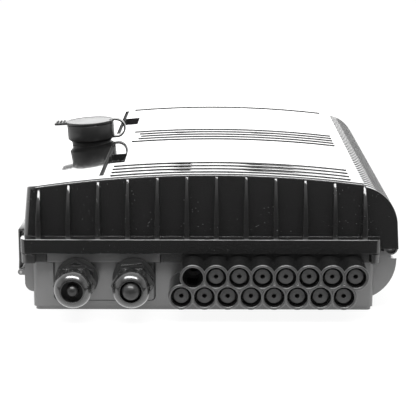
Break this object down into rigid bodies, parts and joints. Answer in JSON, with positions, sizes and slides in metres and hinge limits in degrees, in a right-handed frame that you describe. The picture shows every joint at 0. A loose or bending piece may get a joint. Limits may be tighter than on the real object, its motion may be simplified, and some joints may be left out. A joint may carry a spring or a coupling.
{
  "type": "fibre optic splice closure",
  "caption": "Black wall-mount fibre closure lying on its back: hinged ribbed cover with capped lock, side latches, cable glands and plugged drop ports.",
  "frame": {"origin": "centre of the four wall-screw holes, in the plane of the back that lies on the wall", "axes": "+Z out of the wall towards the crown of the cover, -Y towards the cable entries, +X towards the hinge"},
  "size_m": [0.2565, 0.349, 0.1081],
  "materials": {
    "base_plastic": "satin moulded black",
    "cover_plastic": "polished moulded black",
    "gland_plastic": "smooth black nylon",
    "latch_plastic": "smooth black",
    "cap_rubber": "soft black",
    "plug_rubber": "soft dark grey",
    "seal_rubber": "soft black",
    "lock_metal": "nickel plated",
    "steel": "zinc plated",
    "bracket_metal": "zinc plated sheet",
    "adapter_plastic": "green moulded",
    "module_plastic": "black moulded",
    "tray_plastic": "matt black",
    "tray_cover": "clear smoked"
  },
  "bodies": {
    "base": {"base_shell": "base_plastic", "base_gasket": "seal_rubber", "gland_plate": "base_plastic", "gland_left_washer": "seal_rubber", "gland_left_body": "gland_plastic", "gland_left_seal": "seal_rubber", "gland_left_plug": "plug_rubber", "gland_left_locknut": "gland_plastic", "gland_right_washer": "seal_rubber", "gland_right_body": "gland_plastic", "gland_right_seal": "seal_rubber", "gland_right_plug": "plug_rubber", "gland_right_locknut": "gland_plastic", "port_plug_01": "plug_rubber", "port_plug_02": "plug_rubber", "port_plug_03": "plug_rubber", "port_plug_04": "plug_rubber", "port_plug_05": "plug_rubber", "port_plug_06": "plug_rubber", "port_plug_07": "plug_rubber", "port_plug_08": "plug_rubber", "port_plug_09": "plug_rubber", "port_plug_10": "plug_rubber", "port_plug_11": "plug_rubber", "port_plug_12": "plug_rubber", "port_plug_13": "plug_rubber", "port_plug_14": "plug_rubber", "port_plug_15": "plug_rubber", "hinge_pin_front": "steel", "hinge_pin_rear": "steel", "latch_pins": "steel", "lock_keeper": "steel", "adapter_bracket": "bracket_metal", "adapter_1": "adapter_plastic", "adapter_2": "adapter_plastic", "adapter_3": "adapter_plastic", "adapter_4": "adapter_plastic", "adapter_5": "adapter_plastic", "adapter_6": "adapter_plastic", "adapter_7": "adapter_plastic", "adapter_8": "adapter_plastic", "splitter_module": "module_plastic", "splice_tray": "tray_plastic", "tray_lid": "tray_cover", "splice_comb_left": "seal_rubber", "splice_comb_right": "seal_rubber", "cable_clamp_left": "steel", "cable_clamp_right": "steel", "inner_screws": "steel"},
    "cover": {"cover_shell": "cover_plastic", "lock_housing": "lock_metal", "lock_nut": "lock_metal", "cap_sleeve": "cap_rubber"},
    "lock": {"lock_barrel": "lock_metal", "lock_cam": "steel"},
    "cap": {"cap_lid": "cap_rubber"},
    "latch_front": {"latch_front": "latch_plastic"},
    "latch_rear": {"latch_rear": "latch_plastic"},
    "gland_left": {"gland_left_nut": "gland_plastic"},
    "gland_right": {"gland_right_nut": "gland_plastic"}
  },
  "joints": [
    {"name": "cover_hinge", "type": "hinge", "parent": "base", "child": "cover", "pos_m": [0.1257, 0, 0.0424], "axis": [0, 1, 0], "range_deg": [0, 105]},
    {"name": "latch_front_hinge", "type": "hinge", "parent": "base", "child": "latch_front", "pos_m": [-0.1235, -0.118, 0.024], "axis": [0, -1, 0], "range_deg": [0, 120]},
    {"name": "latch_rear_hinge", "type": "hinge", "parent": "base", "child": "latch_rear", "pos_m": [-0.1235, 0.118, 0.024], "axis": [0, -1, 0], "range_deg": [0, 120]},
    {"name": "lock_turn", "type": "hinge", "parent": "cover", "child": "lock", "pos_m": [-0.087, 0, 0.08768], "axis": [-0.1148, 0, 0.9934], "range_deg": [0, 90]},
    {"name": "cap_lid_hinge", "type": "hinge", "parent": "cover", "child": "cap", "pos_m": [-0.07069, 0, 0.10768], "axis": [0, 1, 0], "range_deg": [0, 150]},
    {"name": "gland_left_turn", "type": "hinge", "parent": "base", "child": "gland_left", "pos_m": [-0.0841, -0.17, 0.0235], "axis": [0, -1, 0], "range_deg": [0, 720]},
    {"name": "gland_right_turn", "type": "hinge", "parent": "base", "child": "gland_right", "pos_m": [-0.0462, -0.17, 0.0235], "axis": [0, -1, 0], "range_deg": [0, 720]}
  ]
}
